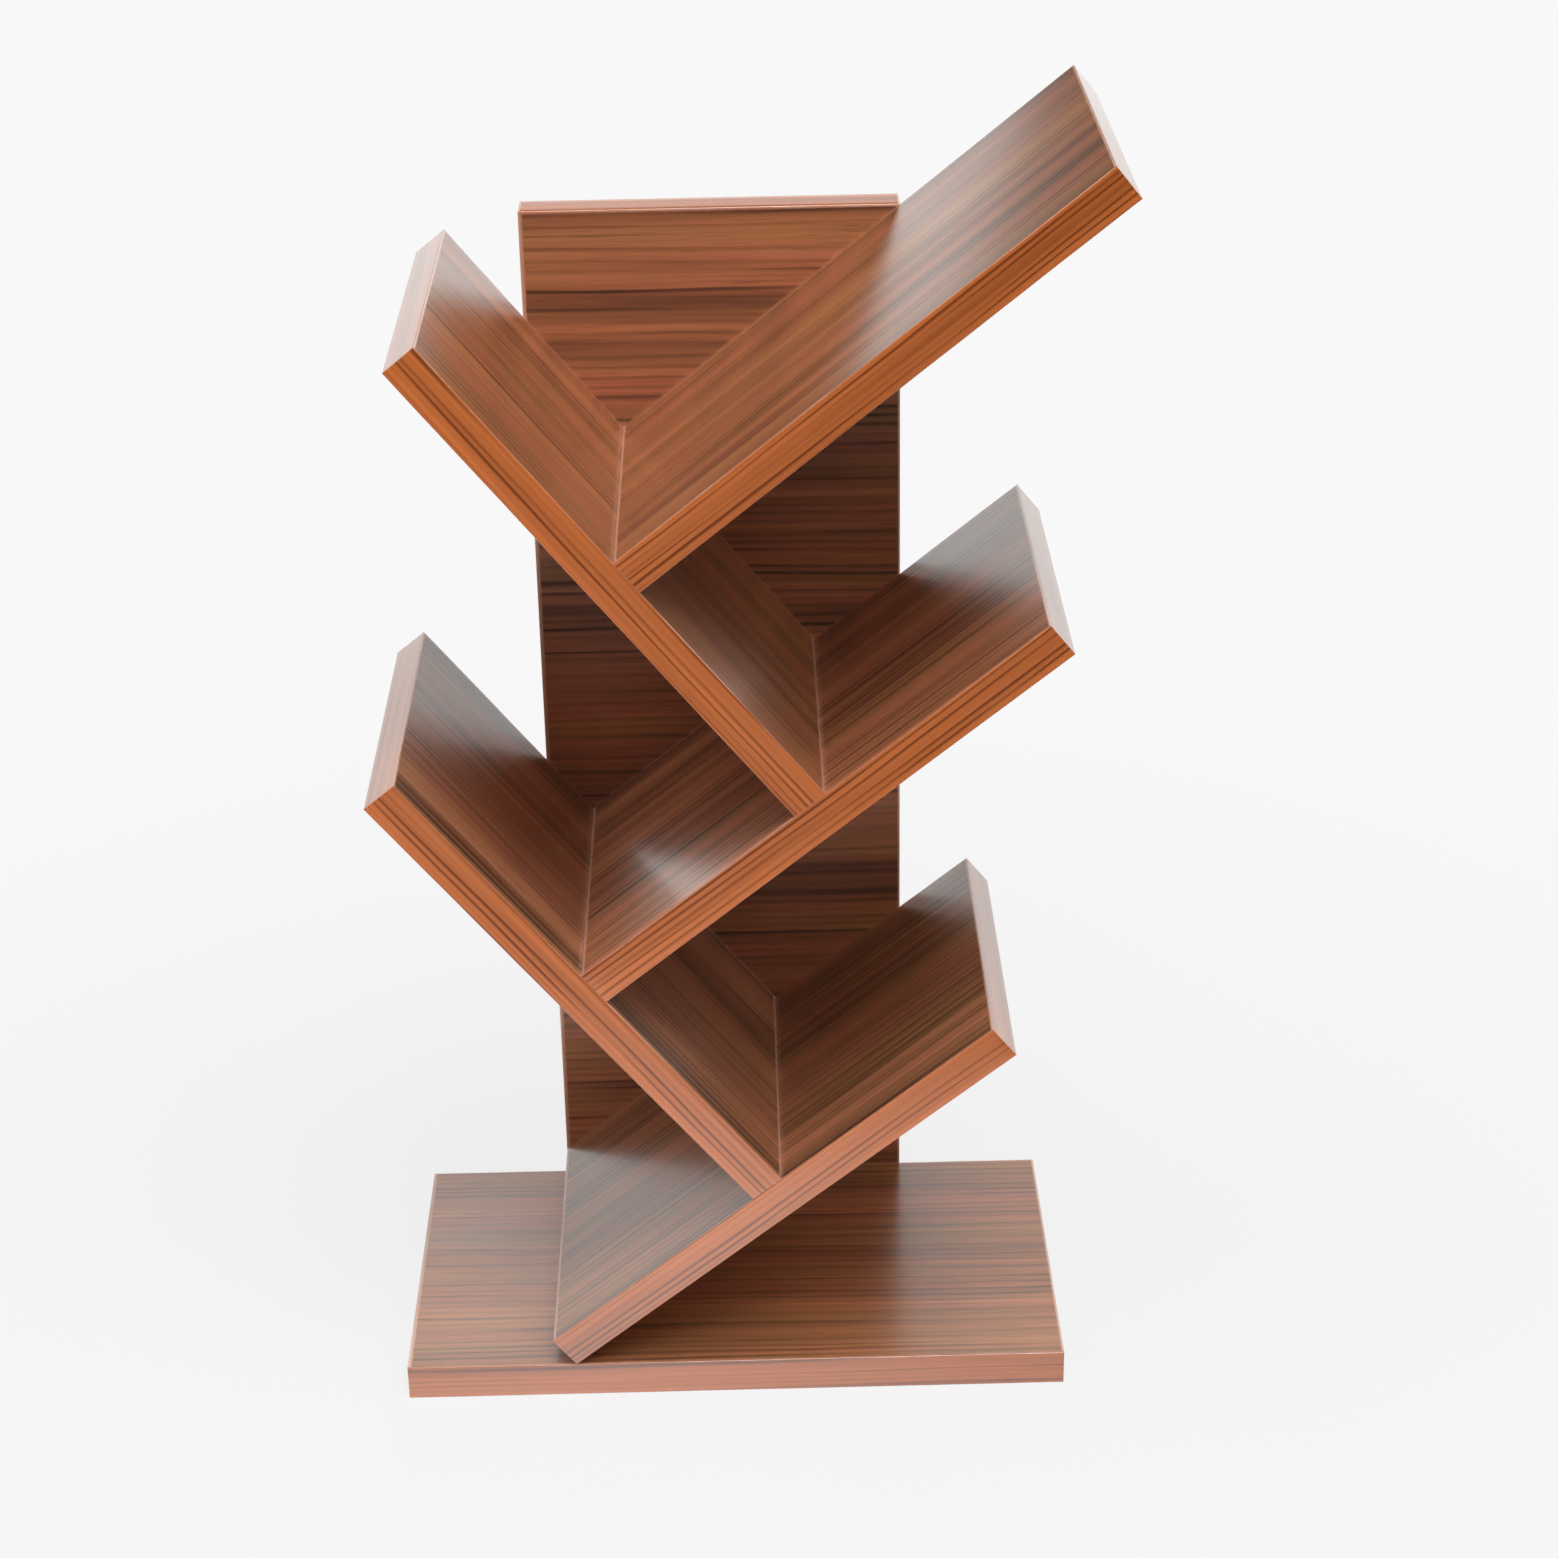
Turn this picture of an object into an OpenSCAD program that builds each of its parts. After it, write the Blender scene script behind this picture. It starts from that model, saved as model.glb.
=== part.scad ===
// Tree bookshelf: five equal boards zigzag up the front of an upright panel that stands on a base board.
// The lower end of each board butts squarely on the middle of the board below it.
// Front is -Y, right is +X, up is +Z. The origin is the centre of the base board's underside.
// All sizes are in millimetres, and a board's sizes include its edge bands.

/* [Boards] */
// Thickness of every board, all cut from one kind of sheet
board_t = 18; // [15:1:25]
// Length of each of the five shelf boards
board_l = 275; // [240:5:340]
// Depth of the shelf boards and of the base board, front to back
board_d = 175; // [150:5:250]
// Slope of the boards that rise to the right, in degrees from the floor
lean = 38.7; // [35:0.1:42]

/* [Back panel] */
// Width of the upright back panel
panel_w = 180; // [160:5:220]

/* [Base] */
// Width of the base board, left to right
base_w = 325; // [290:5:400]

/* [Edge bands] */
// Thickness of the plastic strip glued along every sawn edge
band_t = 1; // [0.4:0.1:2]

/* [Screws] */
// Length of a screw, head included
screw_l = 50; // [40:1:60]
// Diameter of a screw's head
head_d = 10; // [9:0.5:12]
// Height of the straight rim of a head
head_rim = 1.2; // [0.6:0.1:2]
// Diameter of the smooth shank, which passes through the first board
shank_d = 7; // [6:0.5:8]
// How far the smooth shank reaches into the second board
shank_past = 2; // [1:0.5:4]
// Diameter of the core inside the thread, which bites in the second board
core_d = 5; // [4:0.5:5.5]
// Length of the tapered tip
tip_l = 3; // [2:0.5:5]
// Size of the hexagonal key that drives the screws
key_af = 4; // [3:0.5:5]
// Depth of the hexagonal socket in a head
key_depth = 4; // [3:0.5:5]
// Distance of a panel screw from a shelf board's lower end, or from the panel's side, along the board
panel_screw_in = 40; // [30:1:50]
// Distance of a joint screw from the front or the rear of a shelf board
joint_screw_in = 44; // [36:1:60]
// Number of screws that hold the base board to the back panel
base_screws_n = 3; // [2:1:4]

/* [Dowels] */
// Diameter of a wooden dowel
dowel_d = 8; // [6:1:10]
// Length of a wooden dowel
dowel_l = 30; // [25:1:40]
// Wood left under the dowel's hole in the board that carries the joint
dowel_floor = 6; // [4:0.5:8]
// Bevel round each end of a dowel
dowel_bevel = 1; // [0.5:0.1:2]

/* [Screw caps] */
// Diameter of the cap that covers a joint screw's head
cap_d = 13; // [12.5:0.5:16]
// Thickness of the cap's disc
cap_t = 1; // [0.8:0.1:2]
// Bevel round the cap's rim
cap_bevel = 0.4; // [0.2:0.1:0.6]
// Length of the cap's hexagonal stem in the screw's socket
cap_stem = 2.5; // [1.5:0.1:2.8]

/* [Fits] */
// Clearance round a screw or dowel in its hole, and round a cap's stem
fit_gap = 0.1; // [0.05:0.01:0.25]

/* [Hidden] */
$fn = 48;
shelf_names = [
  "lower_right_shelf", "lower_left_shelf", "middle_right_shelf", "upper_left_shelf", "top_right_shelf"
];
shelves_n = len(shelf_names);
base = shelves_n;
panel = shelves_n + 1;
board_names = concat(shelf_names, ["base_board", "back_panel"]);
boards_n = len(board_names);

// Band words for the low-Y side, the high-Y side, the near end and the far end of a board's own frame
shelf_bands = ["front_band", "rear_band", "foot_band", "end_band"];
base_bands = ["front_band", "rear_band", "left_band", "right_band"];
panel_bands = ["right_band", "left_band", "bottom_band", "top_band"];
sides_n = 4;

// Directions of the boards that rise to the right and to the left; each is square to the other
rise_right = [cos(lean), sin(lean)];
rise_left = [-sin(lean), cos(lean)];

// Along a shelf board: free stretch below the joint, and the step from its foot to the next foot
joint_at = (board_l - board_t) / 2;
foot_step = joint_at + board_t;

panel_front_y = board_d / 2;
panel_rear_y = panel_front_y + board_t;
head_cone = (head_d - shank_d) / 2;
dowel_in_first = board_t - dowel_floor;
joint_screw_y = board_d / 2 - joint_screw_in;
base_screw_span = panel_w - 2 * panel_screw_in;
bore_over = 1;

function rises_right(i) = i % 2 == 0;
function slope(i) = rises_right(i) ? rise_right : rise_left;

// Upper edge of a shelf board's lower end, as [x, z]. The lowest one is level with the panel's left side,
// and its other edge stands on the base board.
function foot(i) = i == 0
  ? [-panel_w / 2, board_t + board_t * cos(lean)]
  : foot(i - 1) + foot_step * slope(i - 1);

// Length of a shelf board's middle layer that lies in front of the panel
function backed_length(i) = rises_right(i)
  ? (panel_w / 2 - foot(i)[0] - board_t / 2 * sin(lean)) / cos(lean)
  : (panel_w / 2 + foot(i)[0] - board_t / 2 * cos(lean)) / sin(lean);

// The panel ends where the top board's upper face leaves its right side
top = shelves_n - 1;
panel_h = foot(top)[1] + (panel_w / 2 - foot(top)[0]) * tan(lean);

function board_length(i) = i == base ? base_w : i == panel ? panel_h : board_l;
function board_width(i) = i == panel ? panel_w : board_d;
function band_words(i) = i == base ? base_bands : i == panel ? panel_bands : shelf_bands;
function short_name(i) = i == base ? "base" : i == panel ? "panel" : board_names[i];
function band_name(i, side) = str(short_name(i), "_", band_words(i)[side]);
function band_names() = [for (i = [0 : boards_n - 1]) for (side = [0 : sides_n - 1]) band_name(i, side)];

// A board's own frame: length along X from its foot, width centred on Y, upper or front face at Z = 0
module place_board(i) {
  if (i == base)
    translate([-base_w / 2, 0, board_t]) children();
  else if (i == panel)
    translate([0, panel_front_y, 0]) rotate([0, -90, 90]) children();
  else if (rises_right(i))
    translate([foot(i)[0], 0, foot(i)[1]]) rotate([0, -lean, 0]) children();
  else
    translate([foot(i)[0], 0, foot(i)[1]]) mirror([1, 0, 0]) rotate([0, lean - 90, 0]) children();
}

// A screw stands on its head at the origin and points along +Z; grow widens it into its hole
module screw_body(grow) {
  rotate_extrude()
    polygon([
      [0, 0],
      [head_d / 2 + grow, 0],
      [head_d / 2 + grow, head_rim],
      [shank_d / 2 + grow, head_rim + head_cone],
      [shank_d / 2 + grow, board_t + shank_past + grow],
      [core_d / 2 + grow, board_t + shank_past + grow],
      [core_d / 2 + grow, screw_l - tip_l + grow],
      [core_d / 4 + grow, screw_l + grow],
      [0, screw_l + grow]
    ]);
}

module hex_bar(across_flats, length) {
  cylinder(r = across_flats / sqrt(3), h = length, $fn = 6);
}

module screw() {
  difference() {
    screw_body(0);
    translate([0, 0, -bore_over]) hex_bar(key_af, key_depth + bore_over);
  }
}

module screw_bore() {
  screw_body(fit_gap);
  translate([0, 0, -bore_over]) cylinder(r = head_d / 2 + fit_gap, h = bore_over + head_rim);
}

module dowel() {
  rotate_extrude()
    polygon([
      [0, 0],
      [dowel_d / 2 - dowel_bevel, 0],
      [dowel_d / 2, dowel_bevel],
      [dowel_d / 2, dowel_l - dowel_bevel],
      [dowel_d / 2 - dowel_bevel, dowel_l],
      [0, dowel_l]
    ]);
}

module dowel_bore() {
  translate([0, 0, -fit_gap]) cylinder(r = dowel_d / 2 + fit_gap, h = dowel_l + 2 * fit_gap);
}

module screw_cap() {
  rotate_extrude()
    polygon([[0, -cap_t], [cap_d / 2 - cap_bevel, -cap_t], [cap_d / 2, cap_bevel - cap_t], [cap_d / 2, 0], [0, 0]]);
  hex_bar(key_af - 2 * fit_gap, cap_stem);
}

// The two screws that enter shelf board i from behind the panel
module at_panel_screws(i) {
  for (s = [panel_screw_in, backed_length(i) - panel_screw_in])
    place_board(i) translate([s, panel_rear_y, -board_t / 2]) rotate([90, 0, 0]) children();
}

// The screws in a row that enter the base board from behind the panel
module at_base_screws() {
  for (k = [0 : base_screws_n - 1])
    translate([base_screw_span * (k / (base_screws_n - 1) - 1 / 2), panel_rear_y, board_t / 2])
      rotate([90, 0, 0]) children();
}

// The two screws that pass up through shelf board i into the end of the board that stands on it
module at_joint_screws(i) {
  for (y = [-joint_screw_y, joint_screw_y])
    place_board(i) translate([joint_at + board_t / 2, y, -board_t]) children();
}

// The dowel midway between those two screws
module at_joint_dowel(i) {
  place_board(i) translate([joint_at + board_t / 2, 0, -dowel_in_first]) children();
}

module joint_bores(i) {
  at_joint_screws(i) screw_bore();
  at_joint_dowel(i) dowel_bore();
}

// Every hole that reaches board i or one of its bands
module bores(i) {
  if (i < shelves_n) at_panel_screws(i) screw_bore();
  if (i < top) joint_bores(i);
  if (i > 0 && i < shelves_n) joint_bores(i - 1);
  if (i == panel) for (shelf = [0 : top]) at_panel_screws(shelf) screw_bore();
  if (i == panel || i == base) at_base_screws() screw_bore();
}

// Board with its faces and core, inside its four bands
module board(i) {
  color(i % 2 == 0 ? "#6f4a35" : "#7a513a")
    difference() {
      place_board(i)
        translate([band_t, band_t - board_width(i) / 2, -board_t])
          cube([board_length(i) - 2 * band_t, board_width(i) - 2 * band_t, board_t]);
      bores(i);
    }
}

// Sides 0 and 1 run the full length and cover the ends of sides 2 and 3
module edge_band(i, side) {
  along = side < 2;
  far = side == 1 || side == 3;
  size = along
    ? [board_length(i), band_t, board_t]
    : [band_t, board_width(i) - 2 * band_t, board_t];
  x = !along && far ? board_length(i) - band_t : 0;
  y = !along ? band_t - board_width(i) / 2 : far ? board_width(i) / 2 - band_t : -board_width(i) / 2;
  color("#a8643c")
    difference() {
      place_board(i) translate([x, y, -board_t]) cube(size);
      bores(i);
    }
}

module panel_screws() {
  color("#b9bcc0") for (i = [0 : top]) at_panel_screws(i) screw();
}

module base_screws() {
  color("#b9bcc0") at_base_screws() screw();
}

module joint_screws() {
  color("#b9bcc0") for (i = [0 : top - 1]) at_joint_screws(i) screw();
}

module joint_dowels() {
  color("#d9bd8b") for (i = [0 : top - 1]) at_joint_dowel(i) dowel();
}

module joint_screw_caps() {
  color("#4b3022") for (i = [0 : top - 1]) at_joint_screws(i) screw_cap();
}

for (i = [0 : boards_n - 1]) {
  board(i);
  for (side = [0 : sides_n - 1])
    edge_band(i, side);
}
panel_screws();
base_screws();
joint_screws();
joint_dowels();
joint_screw_caps();
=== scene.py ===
# %% [markdown]
# # Tree bookshelf
# A small bookshelf whose five equal boards zigzag up the front of an upright panel on a base board. This
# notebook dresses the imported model: it swaps square-edged strips for rounded ones, turns plain pins into
# real furniture screws, and gives every surface the finish of printed walnut board. It starts by loading
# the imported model. Its nodes never move, so everything new is placed against them.

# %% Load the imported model
import bpy
import numpy as np
from mathutils import Euler, Matrix, Vector


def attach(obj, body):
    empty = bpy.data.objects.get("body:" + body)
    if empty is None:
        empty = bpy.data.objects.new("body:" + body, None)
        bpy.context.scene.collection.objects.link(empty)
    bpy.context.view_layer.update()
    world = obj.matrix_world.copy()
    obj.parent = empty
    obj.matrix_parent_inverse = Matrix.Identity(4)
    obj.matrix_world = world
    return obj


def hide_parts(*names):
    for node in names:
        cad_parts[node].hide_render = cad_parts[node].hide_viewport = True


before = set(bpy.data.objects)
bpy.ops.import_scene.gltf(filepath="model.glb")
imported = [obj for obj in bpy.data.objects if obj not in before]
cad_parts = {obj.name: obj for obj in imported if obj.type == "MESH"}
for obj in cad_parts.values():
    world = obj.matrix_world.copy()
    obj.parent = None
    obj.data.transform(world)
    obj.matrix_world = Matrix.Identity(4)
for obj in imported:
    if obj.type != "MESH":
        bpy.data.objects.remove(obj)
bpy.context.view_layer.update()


# %% [markdown]
# ## One frame for each board
# Every board is the same kind of sheet, so a point on it is easiest to give in the board's own frame: along
# its length, across its width, and up from its upper face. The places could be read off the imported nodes,
# but then nothing would say why a board lies where it does. Here the zigzag follows from one angle: each
# board rises at that angle, or square to it, and its foot stands on the middle of the board below.

# %% Sizes and places of the boards
BOARD_T = 0.018
BOARD_L = 0.275
BOARD_D = 0.175
PANEL_W = 0.180
BASE_W = 0.325
BAND_T = 0.001
LEAN = np.radians(38.7)

rise_right = np.array([np.cos(LEAN), 0.0, np.sin(LEAN)])
rise_left = np.array([-np.sin(LEAN), 0.0, np.cos(LEAN)])
to_rear = np.array([0.0, 1.0, 0.0])
SHELVES = [
    "lower_right_shelf",
    "lower_left_shelf",
    "middle_right_shelf",
    "upper_left_shelf",
    "top_right_shelf",
]
JOINT_AT = (BOARD_L - BOARD_T) / 2

boards = {}
foot = np.array([-PANEL_W / 2, 0.0, BOARD_T + BOARD_T * np.cos(LEAN)])
for step, shelf in enumerate(SHELVES):
    along, up = (rise_right, rise_left) if step % 2 == 0 else (rise_left, rise_right)
    boards[shelf] = {"origin": foot, "axes": np.array([along, to_rear, up]), "size": (BOARD_L, BOARD_D)}
    top_foot = foot
    foot = foot + (JOINT_AT + BOARD_T) * along
panel_h = top_foot[2] + (PANEL_W / 2 - top_foot[0]) * np.tan(LEAN)
boards["base_board"] = {
    "origin": np.array([-BASE_W / 2, 0.0, BOARD_T]),
    "axes": np.eye(3),
    "size": (BASE_W, BOARD_D),
}
boards["back_panel"] = {
    "origin": np.array([0.0, BOARD_D / 2, 0.0]),
    "axes": np.array([[0.0, 0.0, 1.0], [-1.0, 0.0, 0.0], [0.0, -1.0, 0.0]]),
    "size": (panel_h, PANEL_W),
}


def on_board(board, points):
    """Turns points in a board's frame into the model's frame: origin plus the sum of axes times values."""
    return boards[board]["origin"] + np.asarray(points) @ boards[board]["axes"]


for board, place in boards.items():
    long_side, wide_side = place["size"]
    ends = on_board(board, [[0, -wide_side / 2, -BOARD_T], [long_side, wide_side / 2, 0]])
    print(board, "corner to corner:", np.round(ends * 1000, 1).tolist())

# %% [markdown]
# ## Camera
# The camera stands a little right of centre and looks down at the shelf, which is why all the upper faces
# show and shine. It could be nudged by eye, but its place, turn and focal length come from fitting the
# boards' corners to the picture, which also gives the lens. At about 74 mm the verticals stay almost
# parallel, as in product pictures.

# %% Place the camera
CAMERA_AT = Vector((0.01155, -1.3816, 0.97345))
PITCH = np.radians(26.16)
YAW = np.radians(0.65)
ROLL = np.radians(1.01)
LENS_MM = 73.96
SENSOR_MM = 36


def add_object(name, data):
    """Puts a camera, a mesh or a lamp into the scene, at the origin."""
    made = bpy.data.objects.new(name, data)
    bpy.context.scene.collection.objects.link(made)
    return made


forward = np.array([np.sin(YAW) * np.cos(PITCH), np.cos(YAW) * np.cos(PITCH), -np.sin(PITCH)])
level = np.array([np.cos(YAW), -np.sin(YAW), 0.0])
below = np.cross(forward, level)
picture_right = level * np.cos(ROLL) + below * np.sin(ROLL)
picture_down = below * np.cos(ROLL) - level * np.sin(ROLL)

camera_data = bpy.data.cameras.new("camera")
camera_data.sensor_width = SENSOR_MM
camera_data.lens = LENS_MM
camera = add_object("camera", camera_data)
turn = Matrix((picture_right, -picture_down, -forward)).transposed().to_4x4()
camera.matrix_world = Matrix.Translation(CAMERA_AT) @ turn
bpy.context.scene.camera = camera
print("camera looks down by", round(float(np.degrees(PITCH)), 2), "degrees")

# %% [markdown]
# ## Surfaces from arrays
# A new piece is a grid of points: one direction runs along a path and the other round a closed profile.
# Modifiers could make such shapes too, but with arrays each point's place is a formula, and points can
# carry values for the material. Faces may come out inside out when a board's frame is a mirror image, so
# the sign of the enclosed volume decides whether all of them are turned over.

# %% Helpers that make meshes


def tube_faces(rings, around, first):
    """Quads between neighbouring rings of points, each ring closed on itself, and a flat face on each end.
    Point k of ring r has the number first plus r times around plus k."""
    ring, spot = np.meshgrid(np.arange(rings - 1), np.arange(around), indexing="ij")
    here = first + ring * around
    after = here + around
    beside = (spot + 1) % around
    quads = np.stack([here + spot, here + beside, after + beside, after + spot], axis=-1)
    start, end = (first + row * around + np.arange(around) for row in (0, rings - 1))
    return [*quads.reshape(-1, 4).tolist(), start[::-1].tolist(), end.tolist()]


def enclosed_volume(grid):
    """Sum of the signed volumes of the wedges from the origin to all triangles: a sixth of one corner times
    the cross product of the other two. Each end is a fan from its first point."""
    here, after = grid[:-1], grid[1:]
    beside, after_beside = np.roll(here, -1, axis=1), np.roll(after, -1, axis=1)
    start, end = grid[0], grid[-1]
    triangles = [
        (here, beside, after_beside),
        (here, after_beside, after),
        (start[:1], start[2:], start[1:-1]),
        (end[:1], end[1:-1], end[2:]),
    ]
    return sum(np.sum(a * np.cross(b, c)) for a, b, c in triangles) / 6


def make_piece(name, grids, node, marks=None, smooth_below=35.0):
    """Makes one object of closed grids (rings, around, 3) that stands for a node. Marks are named values,
    one for each point."""
    points, faces = [], []
    first = 0
    for grid in grids:
        rings, around = grid.shape[:2]
        flat = grid.reshape(-1, 3)
        part = tube_faces(rings, around, first)
        if enclosed_volume(grid - flat.mean(axis=0)) < 0:
            part = [face[::-1] for face in part]
        points.append(flat)
        faces += part
        first += len(flat)
    mesh = bpy.data.meshes.new(name)
    mesh.from_pydata(np.concatenate(points).tolist(), [], faces)
    mesh.polygons.foreach_set("use_smooth", np.ones(len(mesh.polygons), dtype=bool))
    mesh.set_sharp_from_angle(angle=float(np.radians(smooth_below)))
    for mark, values in (marks or {}).items():
        mesh.attributes.new(mark, "FLOAT", "POINT").data.foreach_set("value", values.ravel())
    mesh.update()
    piece = add_object(name, mesh)
    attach(piece, "root")
    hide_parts(node)
    return piece


print("mesh helpers ready")

# %% [markdown]
# ## Edge bands
# A sawn edge of this board is covered by a strip of plastic about 1 mm thick. It is glued on, cut flush with
# both faces, and its outer corners are rounded by a scraper. The print is only on the outside, so the scraped
# corners show the paler plastic as a thin line beside every face; that pale line is partly a painted
# highlight, where the rounded corners catch light. That line is what separates the faces from the edges in
# the picture. A bevel on a box would round the corners as well, but it couldn't tell the material where the
# scraper went. Each strip is therefore a profile carried along the edge, and three values travel with its
# points: the distance along the strip, the distance round the profile, and how deep the cut is.

# %% Shape of one strip
CORNER_R = 0.0004
ARC_STEPS = 6
FACE_POINTS = 5
RING_STEP = 0.006
FULL_CUT = 0.12 * BAND_T
CUT_PULL = 0.00005
WAVERS = [(0.00003, 71, 1), (0.00002, 187, 2)]


def strip_profile(width):
    """Closed line round a strip's section: straight glued side and flanks, quarter circles at the corners."""
    turn_by = np.linspace(0, np.pi / 2, ARC_STEPS + 1)
    arc_out = BAND_T - CORNER_R + CORNER_R * np.sin(turn_by)
    arc_wide = width / 2 - CORNER_R + CORNER_R * np.cos(turn_by)
    face_wide = np.linspace(-width / 2 + CORNER_R, width / 2 - CORNER_R, FACE_POINTS + 2)[1:-1]
    out = np.concatenate([[0.0], arc_out, np.full(FACE_POINTS, BAND_T), arc_out[::-1], [0.0]])
    wide = np.concatenate([[-width / 2], -arc_wide, face_wide, arc_wide[::-1], [width / 2]])
    round_way = np.concatenate([[0.0], np.cumsum(np.hypot(np.diff(out), np.diff(wide)))])
    round_way -= round_way[-1] / 2
    cut = np.clip((BAND_T - out) / FULL_CUT, 0.0, 1.0)
    return out, wide, round_way, cut


def strip_grid(length, width, rounded_ends, phase):
    """Carries the profile along a straight edge. Near a rounded end the outer face sinks along a quarter
    circle. The scraped corner wavers by hundredths of a millimetre on its way, as a hand-guided cut does."""
    inner = np.arange(RING_STEP, length - RING_STEP / 2, RING_STEP)
    near = CORNER_R * (1 - np.cos(np.linspace(0, np.pi / 2, ARC_STEPS + 1)))
    ends = (near, length - near[::-1]) if rounded_ends else ([0.0], [length])
    stops = np.concatenate([ends[0], inner, ends[1]])
    from_end = np.minimum(stops, length - stops)
    rest = np.clip(CORNER_R - from_end, 0, None) if rounded_ends else np.zeros_like(stops)
    sink = CORNER_R - np.sqrt(np.clip(CORNER_R**2 - rest**2, 0, None))
    out, wide, round_way, cut = strip_profile(width)
    waver = sum(size * np.sin(stops * rate + times * phase) for size, rate, times in WAVERS)
    edge_pull = cut * (out > 0) * (out < BAND_T)
    grid = np.empty((len(stops), len(out), 3))
    grid[..., 0] = stops[:, None]
    grid[..., 1] = out[None, :] * (1 - sink / BAND_T)[:, None]
    grid[..., 2] = wide[None, :] - np.sign(wide)[None, :] * edge_pull[None, :] * (CUT_PULL + waver)[:, None]
    marks = {
        "strip_along": np.repeat(stops[:, None], len(out), axis=1),
        "strip_round": np.repeat(round_way[None, :], len(stops), axis=0),
        "strip_cut": np.maximum(cut[None, :], np.clip(sink / FULL_CUT, 0, 1)[:, None]),
    }
    return grid, marks


print("points round a strip:", len(strip_profile(BOARD_T)[0]))

# %% Lay a strip on each of the four sides of a board
SHELF_SIDES = ["front", "rear", "foot", "end"]
SIDES = {
    "base_board": ("base", ["front", "rear", "left", "right"]),
    "back_panel": ("panel", ["right", "left", "bottom", "top"]),
}
# How pale each side's scraped corner shows: scraped plastic, partly a painted highlight
PALENESS_AND_HIGHLIGHT = {"front": 0.35, "rear": 0.6, "top": 0.6}


def strip_on_board(board, side, phase):
    """Puts a strip's grid on side 0 (low across), 1 (high across), 2 (near end) or 3 (far end) of a board."""
    long_side, wide_side = boards[board]["size"]
    if side < 2:
        grid, marks = strip_grid(long_side, BOARD_T, True, phase)
        outward = -1 if side == 0 else 1
        across = outward * (wide_side / 2 - BAND_T + grid[..., 1])
        local = np.stack([grid[..., 0], across, grid[..., 2] - BOARD_T / 2], axis=-1)
    else:
        grid, marks = strip_grid(wide_side - 2 * BAND_T, BOARD_T, False, phase)
        along = BAND_T - grid[..., 1] if side == 2 else long_side - BAND_T + grid[..., 1]
        across = grid[..., 0] - wide_side / 2 + BAND_T
        local = np.stack([along, across, grid[..., 2] - BOARD_T / 2], axis=-1)
    return on_board(board, local), marks


ROLL_PLACES = (14, 18, 7, 4, 10, 13, 6)
PLACE_STEP, SIDE_STEP = 0.61, 2.3
PLACE_PHASE, SIDE_PHASE = 1.7, 0.9
edgings = []
for number, board in zip(ROLL_PLACES, boards):
    prefix, words = SIDES.get(board, (board, SHELF_SIDES))
    for side, word in enumerate(words):
        grid, marks = strip_on_board(board, side, PLACE_PHASE * number + SIDE_PHASE * side)
        marks["strip_along"] = marks["strip_along"] + PLACE_STEP * number + SIDE_STEP * side
        # Pale scraped corner, partly a painted highlight, weaker along the front
        marks["strip_cut"] = marks["strip_cut"] * PALENESS_AND_HIGHLIGHT.get(word, 1.0)
        piece_name = f"{prefix}_{word}_edging"
        piece = make_piece(piece_name, [grid], f"{prefix}_{word}_band", marks, smooth_below=50.0)
        edgings.append(piece)
print("edge strips:", len(edgings), "points in one:", len(edgings[0].data.vertices))

# %% [markdown]
# ## Turned pieces
# Screws, dowels and caps are all turned round an axis, so they share one recipe: a list of heights and
# radii, carried round in a circle. Spinning a flat outline would do for the round parts only. A hexagonal
# socket is a radius that depends on the angle, because the distance from the middle of a hexagon to its
# side is a known function of direction, and a thread is a radius that depends on both angle and height.

# %% Helpers for turned pieces
AROUND = 36
angles = np.linspace(0, 2 * np.pi, AROUND, endpoint=False)


def hexagon_radius(across_flats, angle):
    """Distance from the centre of a hexagon to its side: half the flats' distance over the cosine of the
    angle from the nearest side's middle."""
    return across_flats / 2 / np.cos((angle + np.pi / 6) % (np.pi / 3) - np.pi / 6)


def rows(radii):
    """One row of radii for each ring, where a single radius stands for a whole round ring."""
    return np.array([np.broadcast_to(radius, AROUND) for radius in radii])


def turned(heights, radii, angle=angles):
    """Rings of points: each ring keeps its height, and each point's radius goes round the axis."""
    levels = np.repeat(np.asarray(heights)[:, None], len(angle), axis=1)
    return np.stack([radii * np.cos(angle), radii * np.sin(angle), levels], axis=-1)


def stand_on(points, spot, direction):
    """Moves a piece from its own axis to a spot, with its axis turned to point in a direction."""
    axis = np.asarray(direction, dtype=float)
    side = np.cross([0.0, 1.0, 0.0], axis)
    if np.linalg.norm(side) < 0.5:
        side = np.cross([1.0, 0.0, 0.0], axis)
    side = side / np.linalg.norm(side)
    return np.asarray(spot) + points @ np.array([side, np.cross(axis, side), axis])


print("points round a turned piece:", AROUND)

# %% [markdown]
# ## Furniture screws
# Boards like these are held by one-piece connector screws: a flat countersunk head with a 4 mm hexagonal
# socket, a smooth shank that fills the first board, and a coarse thread that cuts its way into the second.
# Only the heads show, in a row behind the panel. They are modelled whole, so that the part can be taken
# apart on screen.

# %% One screw, head at the origin and tip along +Z
HEAD_R = 0.0050
SHANK_R = 0.0035
CORE_R = 0.0023
CREST_R = 0.0034
SCREW_L = 0.050
KEY_AF = 0.004
THREAD_FROM = 0.0206
PITCH_OF_THREAD = 0.0030
RIDGE_HALF = 0.22
THREAD_FADE = 0.002
TIP_TAPER = 0.004
TIP_R = 0.0003


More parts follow.
